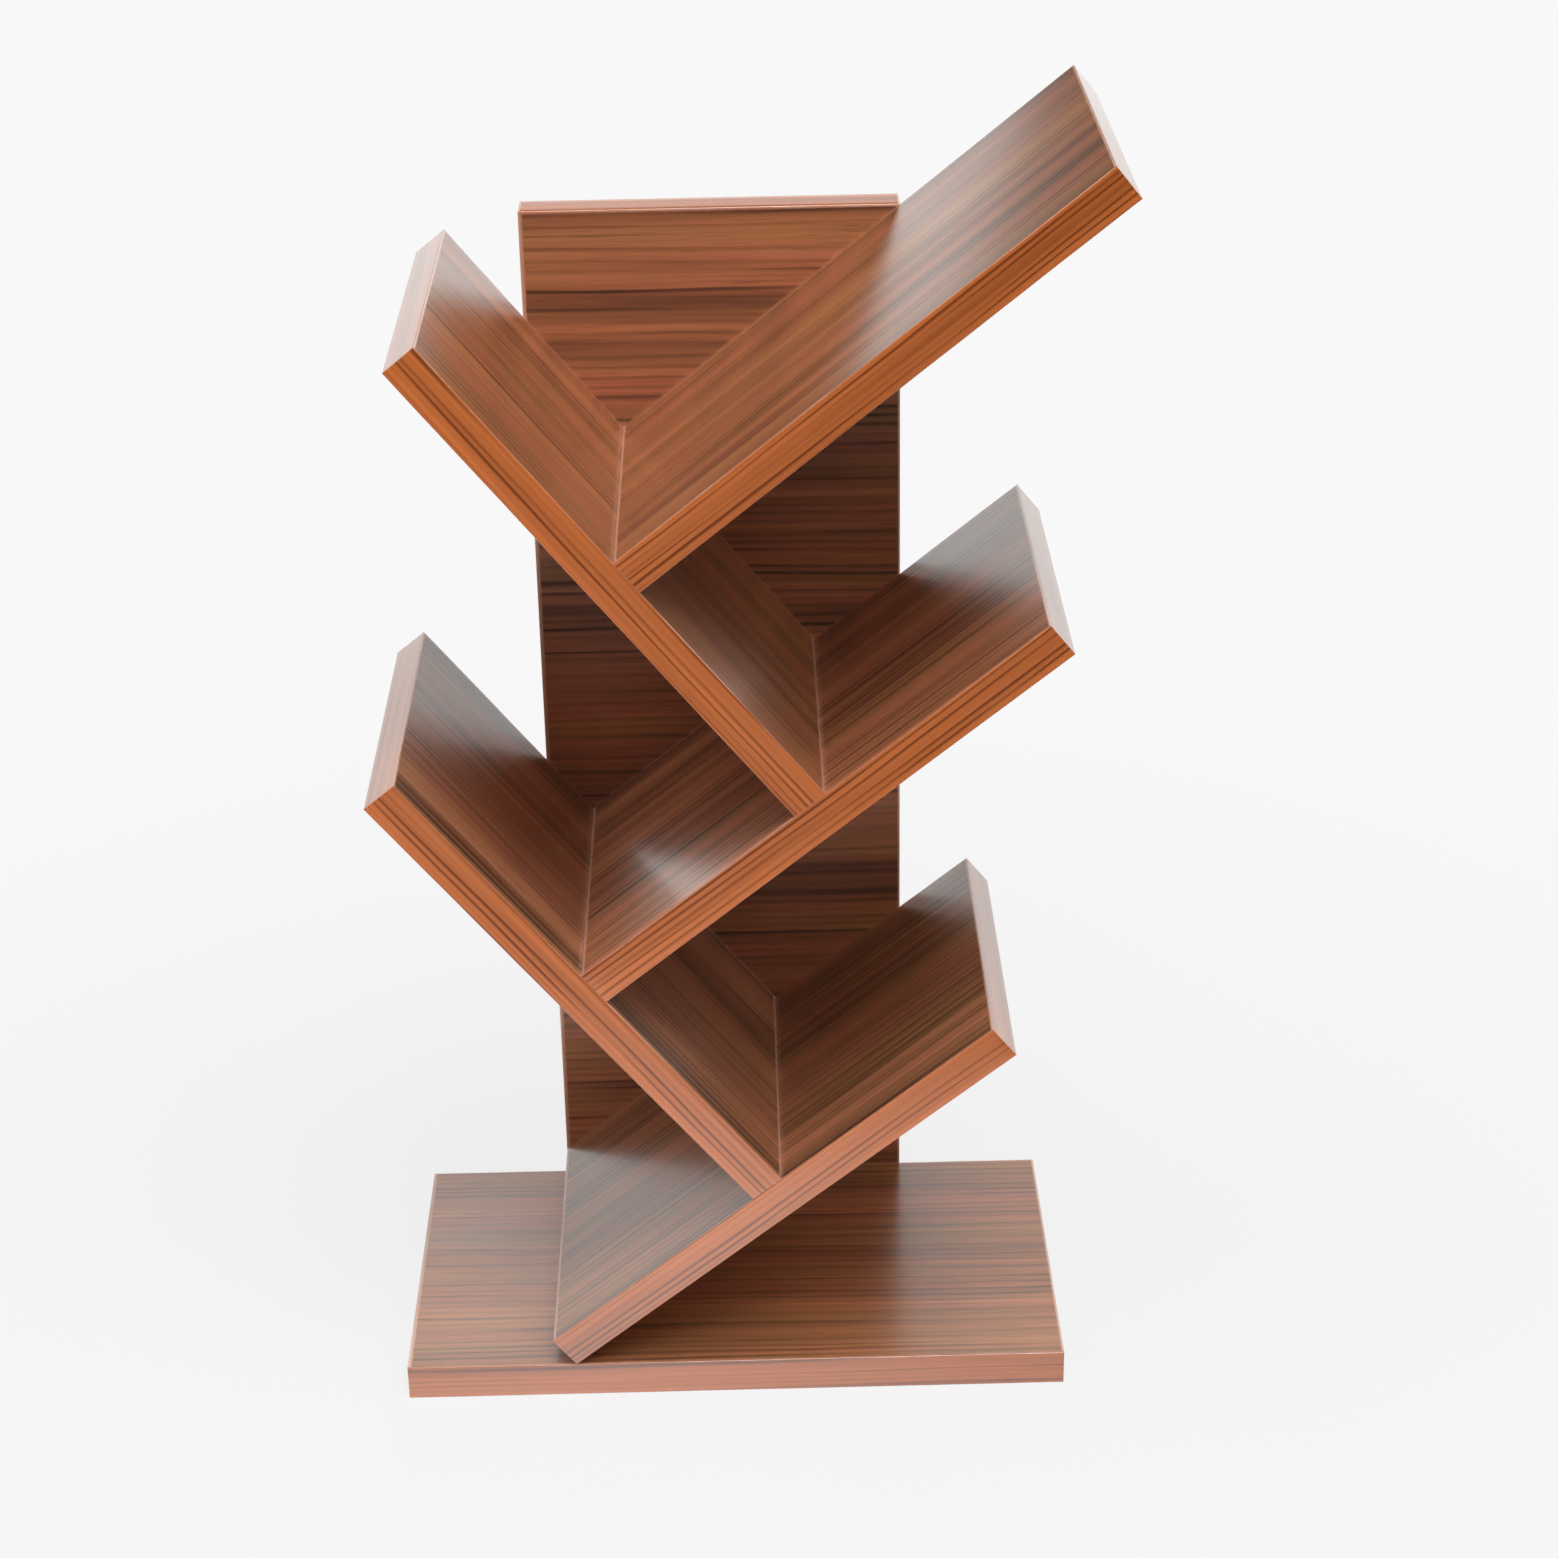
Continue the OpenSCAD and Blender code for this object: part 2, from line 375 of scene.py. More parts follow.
def screw_grid():
    """Rings from the socket's floor, up its hexagonal wall, over the chamfered head, down the cone and shank,
    and along a thread whose height over the core is a narrow ridge that climbs one pitch per turn."""
    hexagon = hexagon_radius(KEY_AF, angles)
    rings = [
        (0.0041, hexagon * 0.05),
        (0.0040, hexagon * 0.96),
        (0.0038, hexagon),
        (0.0004, hexagon),
        (0.0001, np.maximum(hexagon, 0.00225) + 0.00012),
        (0.0000, np.maximum(hexagon, 0.0024) + 0.00020),
        (0.0000, HEAD_R - 0.00035),
        (0.00008, HEAD_R - 0.00012),
        (0.00030, HEAD_R),
        (0.0011, HEAD_R),
        (0.0013, HEAD_R - 0.00008),
        (0.0026, SHANK_R + 0.00012),
        (0.0028, SHANK_R),
        (0.0193, SHANK_R),
        (0.0200, SHANK_R - 0.0003),
    ]
    climb = np.arange(THREAD_FROM, SCREW_L, PITCH_OF_THREAD / 8)
    turns = (climb[:, None] / PITCH_OF_THREAD - angles[None, :] / (2 * np.pi)) % 1.0
    ridge = np.clip(1 - np.abs(turns - 0.5) / RIDGE_HALF, 0, 1)
    fade_in = np.clip((climb - THREAD_FROM) / THREAD_FADE, 0, 1)
    taper = np.clip((SCREW_L - climb) / TIP_TAPER, 0, 1)
    core = CORE_R * (0.25 + 0.75 * taper)
    thread = core[:, None] + (CREST_R - CORE_R) * ridge * (fade_in * taper)[:, None]
    levels, radii = zip(*rings)
    return turned([*levels, *climb, SCREW_L], rows([*radii, *thread, TIP_R]))


one_screw = screw_grid()
print("rings in a screw:", len(one_screw))

# %% Put the screws where the holes are
PANEL_SCREW_IN = 0.040
BASE_SCREW_X = (-0.05, 0.0, 0.05)
JOINT_SCREW_Y = BOARD_D / 2 - 0.044
DOWEL_IN = 0.012
PANEL_REAR_Y = BOARD_D / 2 + BOARD_T


def backed_length(step):
    """Length of a shelf board's middle layer in front of the panel, from its foot to the panel's side."""
    start = boards[SHELVES[step]]["origin"]
    if step % 2 == 0:
        return (PANEL_W / 2 - start[0] - BOARD_T / 2 * np.sin(LEAN)) / np.cos(LEAN)
    return (PANEL_W / 2 + start[0] - BOARD_T / 2 * np.cos(LEAN)) / np.sin(LEAN)


panel_spots = []
for step, shelf in enumerate(SHELVES):
    for reach in (PANEL_SCREW_IN, backed_length(step) - PANEL_SCREW_IN):
        panel_spots.append((on_board(shelf, [reach, PANEL_REAR_Y, -BOARD_T / 2]), -to_rear))
base_spots = [([x, PANEL_REAR_Y, BOARD_T / 2], -to_rear) for x in BASE_SCREW_X]
joint_spots = []
dowel_spots = []
for shelf in SHELVES[:-1]:
    up = boards[shelf]["axes"][2]
    for across in (-JOINT_SCREW_Y, JOINT_SCREW_Y):
        joint_spots.append((on_board(shelf, [JOINT_AT + BOARD_T / 2, across, -BOARD_T]), up))
    dowel_spots.append((on_board(shelf, [JOINT_AT + BOARD_T / 2, 0.0, -DOWEL_IN]), up))


def turned_by(grid, angle):
    """Turns a piece about its own axis."""
    cos, sin = np.cos(angle), np.sin(angle)
    return grid @ np.array([[cos, sin, 0.0], [-sin, cos, 0.0], [0.0, 0.0, 1.0]])


def all_screws(name, node, spots, first, step):
    """One piece with a screw at every spot. Each is turned by one step more, because no two screws stop at
    the same angle. Under caps the turn doesn't show."""
    grids = [stand_on(turned_by(one_screw, first + step * k), *spot) for k, spot in enumerate(spots)]
    return make_piece(name, grids, node)


panel_screws = all_screws("panel_connector_screws", "panel_screws", panel_spots, first=0.0, step=0.7)
base_screws = all_screws("base_connector_screws", "base_screws", base_spots, first=0.4, step=0.9)
joint_screws = all_screws("joint_connector_screws", "joint_screws", joint_spots, first=0.0, step=0.0)
for piece in (panel_screws, base_screws, joint_screws):
    print(piece.name, "faces:", len(piece.data.polygons))

# %% [markdown]
# ## Dowels and caps
# A beech dowel stops each joint from turning. Its sides are fluted, so that glue and air can pass, and its
# ends are bevelled, so that it finds its hole. Plain cylinders would be quicker, but nobody would know them
# for dowels when the joint is pulled apart. The heads of the joint screws would show on the undersides, so
# each has a brown plastic cap: a low dome with a softened rim and a hexagonal stem that plugs into the
# socket.

# %% Dowels with sixteen flutes
FLUTES = 16
FLUTE_POINTS = 6
flute_angles = np.linspace(0, 2 * np.pi, FLUTES * FLUTE_POINTS, endpoint=False)


def dowel_grid():
    """Radius is 4 mm less a shallow cosine groove sixteen times round; the groove fades out on the bevels."""
    heights = np.array([0.0, 0.0003, 0.0010, 0.0016, 0.0150, 0.0284, 0.0290, 0.0297, 0.0300])
    outer = np.array([0.0027, 0.0031, 0.0038, 0.0040, 0.0040, 0.0040, 0.0038, 0.0031, 0.0027])
    depth = np.array([0.0, 0.0, 0.00010, 0.00022, 0.00022, 0.00022, 0.00010, 0.0, 0.0])
    groove = (0.5 - 0.5 * np.cos(FLUTES * flute_angles)) ** 2
    return turned(heights, outer[:, None] - depth[:, None] * groove[None, :], flute_angles)


one_dowel = dowel_grid()
dowel_grids = [stand_on(one_dowel, spot, up) for spot, up in dowel_spots]
dowels = make_piece("joint_beech_dowels", dowel_grids, "joint_dowels")
print("dowels:", len(dowel_spots))

# %% Caps with a low dome and a hexagonal stem
CAP_R = 0.0065
CAP_T = 0.0010
DOME_FALL = 0.00022
RIM_FALL = 0.00042
RIM_SHARE = 0.07
STEM_AF = 0.0038


def cap_grid():
    """From the middle of the dome outwards, round the rim, back under the disc and along the stem."""
    dome_r = np.linspace(0.04, 1 - RIM_SHARE, 9) * CAP_R
    dome_h = DOME_FALL * (dome_r / CAP_R) ** 2 - CAP_T
    rim = np.linspace(0.15, 1.0, 6) * np.pi / 2
    rim_r = (1 - RIM_SHARE + RIM_SHARE * np.sin(rim)) * CAP_R
    rim_h = dome_h[-1] + RIM_FALL * (1 - np.cos(rim))
    stem = hexagon_radius(STEM_AF, angles)
    heights = [*dome_h, *rim_h, -0.00012, 0.0, 0.0, 0.0023, 0.0025]
    return turned(heights, rows([*dome_r, *rim_r, CAP_R, CAP_R - 0.0001, stem, stem, stem * 0.9]))


one_cap = cap_grid()
cap_grids = [stand_on(one_cap, spot, up) for spot, up in joint_spots]
caps = make_piece("joint_screw_cover_caps", cap_grids, "joint_screw_caps")
print("caps:", len(joint_spots))

# %% [markdown]
# ## Making materials out of nodes
# A material is a small graph: coordinates go in, patterns are computed, and the shader turns them into
# colour, gloss and bumps. Wiring every node by hand would hide the pattern behind the wiring, so short
# helpers keep the graphs readable. One makes a node and fills its inputs, and the others give the parts
# that come back in every material: arithmetic, noise, colour ramps, bumps and shaders.

# %% Helpers for nodes


def node(tree, kind, inputs=None, **settings):
    """Adds a node, sets its options, and fills each named or numbered input with a value or another node's
    output."""
    made = tree.nodes.new(kind)
    for key, value in settings.items():
        setattr(made, key, value)
    for key, value in (inputs or {}).items():
        if isinstance(value, bpy.types.NodeSocket):
            tree.links.new(value, made.inputs[key])
        else:
            made.inputs[key].default_value = value
    return made


def math(tree, operation, first, second=0.0, clamp=False):
    """Result of one operation on two numbers or outputs."""
    made = node(tree, "ShaderNodeMath", {0: first, 1: second}, operation=operation, use_clamp=clamp)
    return made.outputs[0]


def spread(tree, value, low, high, to_low=0.0, to_high=1.0):
    """Maps the range from low to high onto the one from to_low to to_high, with soft ends. The constants of
    two or four numbers below are these limits."""
    made = node(
        tree,
        "ShaderNodeMapRange",
        {"Value": value, "From Min": low, "From Max": high, "To Min": to_low, "To Max": to_high},
        interpolation_type="SMOOTHSTEP",
    )
    return made.outputs[0]


print("three helpers: node, math, spread")

# %% Helpers for patterns, colours and places
COLOUR_A, COLOUR_B, COLOUR_OUT = 6, 7, 2


def noise(tree, vector, scale, detail=2.0, roughness=0.5):
    """Cloudy values around one half; scale is a number of cells per metre in each direction."""
    stretched = node(tree, "ShaderNodeMapping", {"Vector": vector, "Scale": scale}).outputs[0]
    made = node(
        tree,
        "ShaderNodeTexNoise",
        {"Vector": stretched, "Scale": 1.0, "Detail": detail, "Roughness": roughness},
        noise_dimensions="3D",
    )
    return made.outputs[0]


def ramp(tree, value, stops):
    """Colour ramp from pairs of place and colour."""
    made = node(tree, "ShaderNodeValToRGB", {0: value})
    line = made.color_ramp
    while len(line.elements) < len(stops):
        line.elements.new(0.5)
    for element, (place, colour) in zip(line.elements, stops):
        element.position = place
        element.color = (*colour, 1.0)
    return made.outputs[0]


def blend(tree, factor, first, second, kind="MIX"):
    """Colour between two others, or the first one multiplied by the second."""
    inputs = {"Factor": factor, COLOUR_A: first, COLOUR_B: second}
    return node(tree, "ShaderNodeMix", inputs, data_type="RGBA", blend_type=kind).outputs[COLOUR_OUT]


def object_place(tree):
    """Where the shaded point lies on the object, in metres from the object's origin."""
    return node(tree, "ShaderNodeTexCoord").outputs["Object"]


def split(tree, vector):
    """The three outputs X, Y and Z of a vector."""
    return node(tree, "ShaderNodeSeparateXYZ", {0: vector}).outputs


print("five helpers: noise, ramp, blend, object_place, split")

# %% Helpers for shaders and whole materials
PALE = (0.94, 0.94, 0.94, 1.0)


def bumps(tree, height, distance, strength, over=None):
    """Normal tilted as if the surface rose by the height times the distance, on top of other bumps."""
    inputs = {"Height": height, "Distance": distance, "Strength": strength}
    if over is not None:
        inputs["Normal"] = over
    return node(tree, "ShaderNodeBump", inputs).outputs[0]


def glow(tree, strength, colour=PALE):
    """Shader that gives off even light."""
    return node(tree, "ShaderNodeEmission", {"Color": colour, "Strength": strength}).outputs[0]


def mix_shaders(tree, share, first, second):
    """Shader that is the first at share zero and the second at one."""
    return node(tree, "ShaderNodeMixShader", {0: share, 1: first, 2: second}).outputs[0]


def new_material(name):
    """An empty material without nodes."""
    made = bpy.data.materials.new(name)
    made.use_nodes = True
    made.node_tree.nodes.clear()
    return made, made.node_tree


def finish_material(tree, shader):
    """Links a shader to the surface."""
    node(tree, "ShaderNodeOutputMaterial", {"Surface": shader})


def finish_solid(tree, colour, rough, normal, more=None):
    """Links the usual shader of solid things to the surface."""
    inputs = {"Base Color": colour, "Roughness": rough, "Normal": normal, **(more or {})}
    finish_material(tree, node(tree, "ShaderNodeBsdfPrincipled", inputs).outputs[0])


print("six helpers: bumps, glow, mix_shaders, new_material, finish_material, finish_solid")

# %% [markdown]
# ## Straight walnut grain
# The boards are faced with a printed walnut picture, cut so that the grain runs straight along the sheet. A
# picture of wood could be wrapped round them, but a computed grain has no edges and no repeats, and it fits
# any board. It has four parts: broad zones and stripes, fine streaks under a millimetre, short dark pores,
# and growth lines. A growth line is one year's end, so it darkens slowly and stops sharply. Rounding the
# coordinate down gives every line a number, and the number gives its strength. The group takes a coordinate
# whose X runs with the grain, in metres, and gives tone (0 dark, 1 light), pores, a value for gloss, one
# for the hue, and the lines by themselves, so that each print can weigh them.

# %% Node group for the grain
# Metres, cells per metre and detail of the slow and the quick wandering
WANDER = [(0.022, (1.6, 5.0, 3.0), 1.0), (0.0016, (14.0, 40.0, 9.0), 2.0)]
# Weight, cells per metre, detail and roughness of zones, stripes, streaks and fine streaks
TONE_LAYERS = [
    (0.90, (1.3, 30.0, 12.0), 2.0, 0.5),
    (0.95, (2.6, 110.0, 30.0), 2.0, 0.55),
    (0.42, (9.0, 430.0, 60.0), 3.0, 0.6),
    (0.16, (30.0, 1600.0, 90.0), 2.0, 0.6),
]
TONE_START = 0.64
LINES_PER_METRE = 210.0
UNEVEN_BY = 2.5
LINE_RISE = (0.34, 0.80)
LINE_FALL = (1.0, 0.82)
LINE_FADE = (0.36, 0.60, 0.30, 1.0)
FAINTEST_LINE = 0.25


def mixed(tree, parts, start):
    """Start value plus each cloudy value's distance from one half, times its weight."""
    total = start
    for weight, value in parts:
        centred = math(tree, "SUBTRACT", value, 0.5)
        total = math(tree, "ADD", math(tree, "MULTIPLY", centred, weight), total)
    return total


def growth_lines(tree, across, where):
    """Lines that darken slowly and end sharply, unevenly spaced, each with its own strength, fading in and
    out."""
    uneven = math(tree, "MULTIPLY", noise(tree, where, (1.8, 55.0, 12.0)), UNEVEN_BY)
    count = math(tree, "ADD", math(tree, "MULTIPLY", across, LINES_PER_METRE), uneven)
    part = math(tree, "FRACT", count)
    number = math(tree, "FLOOR", count)
    own = node(tree, "ShaderNodeTexWhiteNoise", {"W": number}, noise_dimensions="1D").outputs["Value"]
    rise = spread(tree, part, *LINE_RISE)
    fall = spread(tree, part, *LINE_FALL)
    own = math(tree, "ADD", math(tree, "MULTIPLY", own, 1.0 - FAINTEST_LINE), FAINTEST_LINE)
    fade = spread(tree, noise(tree, where, (7.0, 90.0, 15.0), 1.0), *LINE_FADE)
    return math(tree, "MULTIPLY", math(tree, "MULTIPLY", rise, fall), math(tree, "MULTIPLY", own, fade))


def make_grain_group():
    """Tone = zones + stripes + streaks + fine streaks, each times its weight, at a coordinate that wanders
    sideways. The lines come out apart."""
    group = bpy.data.node_groups.new("straight_walnut_grain", "ShaderNodeTree")
    group.interface.new_socket("Along grain", in_out="INPUT", socket_type="NodeSocketVector")
    for name in ("Tone", "Pores", "Gloss", "Hue", "Lines"):
        group.interface.new_socket(name, in_out="OUTPUT", socket_type="NodeSocketFloat")
    start = group.nodes.new("NodeGroupInput").outputs[0]
    slow, quick = (math(group, "MULTIPLY", noise(group, start, *cells), by) for by, *cells in WANDER)
    along, side, deep = split(group, start)
    across = math(group, "ADD", side, math(group, "ADD", slow, quick))
    warped = node(group, "ShaderNodeCombineXYZ", {0: along, 1: across, 2: deep}).outputs[0]
    layers = [(weight, noise(group, warped, *cells)) for weight, *cells in TONE_LAYERS]
    tone = mixed(group, layers, TONE_START)
    lines = growth_lines(group, across, warped)
    pores = spread(group, noise(group, warped, (40.0, 1500.0, 90.0), 1.0), 0.62, 0.74)
    gloss = noise(group, start, (9.0, 14.0, 9.0), 3.0)
    hue = noise(group, warped, (2.0, 70.0, 25.0))
    node(group, "NodeGroupOutput", {0: tone, 1: pores, 2: gloss, 3: hue, 4: lines})
    return group


grain_group = make_grain_group()
print("grain group nodes:", len(grain_group.nodes))

# %% [markdown]
# ## Walnut faces
# The print lies under a clear, hard melamine layer, so the colour is matt inside and the top is smooth and
# satin. Seen at a low angle that layer mirrors the glowing white card behind the bookshelf, a painted
# reflection, which washes out the far halves of the boards. A clear coat over the coloured base gives exactly
# that. Each board has its own material, because the Mapping node has to turn the grain along that board, and
# because no two boards come from one part of the sheet: each has its own tint and contrast. These tints and
# contrasts are partly painted shade: the lower boards, which lie in shade, are cooler and more contrasty, and
# the base and panel lighter, to stand in for how the light falls on them. The panel is cut crosswise, and its
# grain runs level. The scraper that trims the strips also grazes the print beside them, which leaves a thin,
# ragged, paler rim, widest at the butted ends; this rim is partly a painted highlight, where the edges catch
# light.

# %% Material of the board faces
WALNUT = [
    (0.00, (0.080, 0.034, 0.018)),
    (0.25, (0.175, 0.069, 0.032)),
    (0.50, (0.345, 0.126, 0.052)),
    (0.75, (0.485, 0.174, 0.071)),
    (1.00, (0.620, 0.228, 0.095)),
]
PORE = (0.05, 0.018, 0.010, 1.0)
# Pale scraped print beside the strips, partly a painted highlight where the edges catch light
SCRAPED_PALE_AND_HIGHLIGHT = (0.74, 0.40, 0.27, 1.0)
HUES = [(0.35, (1.04, 0.94, 1.02)), (0.65, (0.96, 1.06, 0.92))]
LINE_DEPTH = 0.42
MIDDLE_TONE = 0.58
MELAMINE = {"IOR": 1.6, "Coat Weight": 1.0, "Coat Roughness": 0.20, "Coat IOR": 1.6}
RAGGED_BY = 0.0012
RIM_WEAR_AND_HIGHLIGHT = (BAND_T + 0.0004, BAND_T + 0.0012, 0.45, 0.0)
JOINT_WEAR_AND_HIGHLIGHT = (BAND_T + 0.0008, BAND_T + 0.0016, 0.9, 0.0)


def scraped_and_highlit_margin(tree, place, turn, centre, half):
    """High on the print's rim, where the scraper that trims the strips has grazed it, and zero inside; the
    pale rim is partly a painted highlight where the edges catch light. The rim is under a millimetre wide and
    ragged, and a little wider and cleaner at the foot, by the joint, where it paints the highlight along the
    V seam."""
    back = [-value for value in centre]
    local = node(tree, "ShaderNodeMapping", {"Vector": place, "Rotation": turn, "Location": back})
    x, y, _ = split(tree, local.outputs[0])
    ends = math(tree, "SUBTRACT", half[0], math(tree, "ABSOLUTE", x))
    sides = math(tree, "SUBTRACT", half[1], math(tree, "ABSOLUTE", y))
    ragged = math(tree, "MULTIPLY", noise(tree, place, (260.0, 260.0, 260.0), 3.0), RAGGED_BY)
    rim = math(tree, "ADD", math(tree, "MINIMUM", ends, sides), ragged)
    from_foot = math(tree, "ADD", math(tree, "MULTIPLY", ragged, 0.5), half[0])
    from_foot = math(tree, "ADD", x, from_foot)
    return math(tree, "MAXIMUM", spread(tree, rim, *RIM_WEAR_AND_HIGHLIGHT), spread(tree, from_foot, *JOINT_WEAR_AND_HIGHLIGHT))


def walnut_material(board, turn, shift, centre, half, tint, contrast):
    """Printed walnut under a satin coat, with the grain turned by the given angles and shifted to a fresh
    part. Tone moves away from its middle by the contrast, and the colour is multiplied by the tint; tint and
    contrast are partly painted shade."""
    made, tree = new_material(f"walnut_{board}")
    place = object_place(tree)
    along = node(tree, "ShaderNodeMapping", {"Vector": place, "Rotation": turn, "Location": shift}).outputs[0]
    grain = node(tree, "ShaderNodeGroup", {}, node_tree=grain_group)
    tree.links.new(along, grain.inputs[0])
    lines = math(tree, "MULTIPLY", grain.outputs["Lines"], LINE_DEPTH)
    tone = math(tree, "SUBTRACT", grain.outputs["Tone"], lines)
    tone = math(tree, "ADD", math(tree, "MULTIPLY", tone, contrast), MIDDLE_TONE * (1.0 - contrast))
    hues = [(stop, tuple(np.multiply(tint, colour))) for stop, colour in HUES]
    shade = ramp(tree, grain.outputs["Hue"], hues)
    print_colour = blend(tree, 1.0, ramp(tree, tone, WALNUT), shade, "MULTIPLY")
    dark = blend(tree, math(tree, "MULTIPLY", grain.outputs["Pores"], 0.30), print_colour, PORE)
    # Pale rim beside the strips: scraped print, partly a painted highlight along the edges and V seams
    colour = blend(tree, scraped_and_highlit_margin(tree, place, turn, centre, half), dark, SCRAPED_PALE_AND_HIGHLIGHT)
    waves = bumps(tree, noise(tree, along, (5.0, 9.0, 5.0)), 0.00010, 1.0)
    sunk = math(tree, "MULTIPLY", grain.outputs["Pores"], 0.3)
    relief = math(tree, "SUBTRACT", math(tree, "MULTIPLY", tone, 0.5), sunk)
    rough = spread(tree, grain.outputs["Gloss"], 0.3, 0.7, 0.285, 0.37)
    rough = math(tree, "ADD", rough, math(tree, "MULTIPLY", grain.outputs["Pores"], 0.12))
    normal = bumps(tree, relief, 0.00001, 0.5, over=waves)
    finish_solid(tree, colour, rough, normal, {**MELAMINE, "Coat Normal": waves})
    return made


print("walnut tones:", len(WALNUT))

# %% Face each board with its own part of the sheet
QUARTER = np.pi / 2
TO_RIGHT = (0.0, LEAN, 0.0)
TO_LEFT = (0.0, LEAN + QUARTER, 0.0)
LEVEL = (0.0, 0.0, 0.0)
CROSSWISE = (-QUARTER, 0.0, 0.0)
SHEET_START = (0.0, 0.1, 0.0)
SHEET_STEP = (0.83, 0.37, 0.21)
# Steps along the sheet, turn of the grain, tint and contrast; tint and contrast are partly painted shade,
# cooler and stronger on the shaded lower boards and lighter on the base
FACINGS = {
    "lower_right_shelf": (0, TO_RIGHT, (0.95, 1.08, 1.30), 1.35),
    "lower_left_shelf": (1, TO_LEFT, (0.92, 1.02, 1.22), 1.5),
    "middle_right_shelf": (2, TO_RIGHT, (0.98, 1.04, 1.18), 1.5),
    "upper_left_shelf": (3, TO_LEFT, (0.96, 0.95, 0.96), 1.0),
    "top_right_shelf": (4, TO_RIGHT, (1.04, 1.04, 1.10), 1.0),
    "base_board": (5, LEVEL, (1.15, 1.20, 1.32), 1.0),
    "back_panel": (9, CROSSWISE, (1.04, 1.08, 1.20), 1.25),
}
for board, (number, turn, tint, contrast) in FACINGS.items():
    long_side, wide_side = boards[board]["size"]
    centre = np.array(Euler(turn).to_matrix()) @ on_board(board, [long_side / 2, 0, 0])
    half = (wide_side / 2, long_side / 2) if turn == CROSSWISE else (long_side / 2, wide_side / 2)
    shift = [begin + step * number for begin, step in zip(SHEET_START, SHEET_STEP)]
    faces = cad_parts[board]
    faces.data.materials.clear()
    faces.data.materials.append(walnut_material(board, turn, shift, centre, half, tint, contrast))
print("walnut materials:", len(FACINGS))

# %% [markdown]
# ## Edge strips
# The strips carry a redder and more even print of the same wood, with a few long dark stripes. A material
# with its own Mapping node for each strip would work, but that makes twenty-eight of them. This one material
# reads the values that travel with a strip's points, so the stripes follow each strip wherever it runs, and
# each strip starts at a fresh place on the roll. Where the scraper has cut the corner, the print gives way to
# the plain, paler plastic underneath: fully at the ends, and only a little along the front, where the cut is
# lightest. These pale corners are partly a painted highlight, where the rounded corners catch light.

# %% Material of the edge strips
BAND_PRINT = [
    (0.00, (0.130, 0.028, 0.006)),
    (0.30, (0.290, 0.066, 0.013)),
    (0.50, (0.540, 0.137, 0.027)),
    (0.75, (0.700, 0.182, 0.038)),
    (1.00, (0.800, 0.222, 0.053)),
]
# Pale plastic at the scraped corners, partly a painted highlight
PLASTIC_AND_HIGHLIGHT = [(0.3, (0.84, 0.47, 0.33)), (0.7, (0.92, 0.57, 0.43))]
PRINT_STRETCH = (1.2, 1.4, 1.0)
EVENNESS, EVEN_SHIFT = 0.85, 0.13
STRIP_LINE_DEPTH = 0.44
VARNISH = {"IOR": 1.7, "Coat Weight": 1.0, "Coat Roughness": 0.16, "Coat IOR": 1.75}


def strip_material():
    """Printed strip whose pattern is read from the strip's own values, paler where the corner is scraped; the
    pale corner is partly a painted highlight.
    """
    made, tree = new_material("walnut_edge_strip")
    along, around, cut = (
        node(tree, "ShaderNodeAttribute", attribute_name=mark).outputs["Fac"]
        for mark in ("strip_along", "strip_round", "strip_cut")
    )
    place = node(tree, "ShaderNodeCombineXYZ", {0: along, 1: around, 2: math(tree, "MULTIPLY", along, 0.02)})
    drawn = node(tree, "ShaderNodeMapping", {"Vector": place.outputs[0], "Scale": PRINT_STRETCH}).outputs[0]
    grain = node(tree, "ShaderNodeGroup", {}, node_tree=grain_group)
    tree.links.new(drawn, grain.inputs[0])
    even = math(tree, "ADD", math(tree, "MULTIPLY", grain.outputs["Tone"], EVENNESS), EVEN_SHIFT)
    lines = math(tree, "MULTIPLY", grain.outputs["Lines"], STRIP_LINE_DEPTH)
    tone = math(tree, "SUBTRACT", even, lines)
    print_colour = ramp(tree, tone, BAND_PRINT)
    worn = noise(tree, place.outputs[0], (60.0, 400.0, 60.0), 3.0)
    ragged = math(tree, "MULTIPLY", math(tree, "SUBTRACT", worn, 0.5), 0.8)
    edge = spread(tree, math(tree, "ADD", cut, math(tree, "MULTIPLY", ragged, cut)), 0.0, 1.0)
    # Pale plastic on the scraped corner, partly a painted highlight
    colour = blend(tree, edge, print_colour, ramp(tree, worn, PLASTIC_AND_HIGHLIGHT))
    sunk = math(tree, "MULTIPLY", grain.outputs["Pores"], 0.5)
    height = math(tree, "SUBTRACT", math(tree, "MULTIPLY", tone, 0.4), sunk)
    rough = spread(tree, grain.outputs["Gloss"], 0.3, 0.7, 0.20, 0.255)
    rough = math(tree, "ADD", rough, math(tree, "MULTIPLY", edge, 0.015))
    finish_solid(tree, colour, rough, bumps(tree, height, 0.00001, 0.5), VARNISH)
    return made


strip_finish = strip_material()
for piece in edgings:
    piece.data.materials.append(strip_finish)
print("edge strips finished:", len(edgings))

# %% [markdown]
# ## Steel, beech and cap plastic
# The screws are zinc-plated steel: bright, slightly bluish, with fine turning marks and duller spots. The
# dowels are raw beech with short darker flecks. The caps are moulded in brown plastic with a fine, even
# grain. One flat colour each would pass from afar, but close up the small variations tell the materials
# apart.

# %% Materials of the small parts


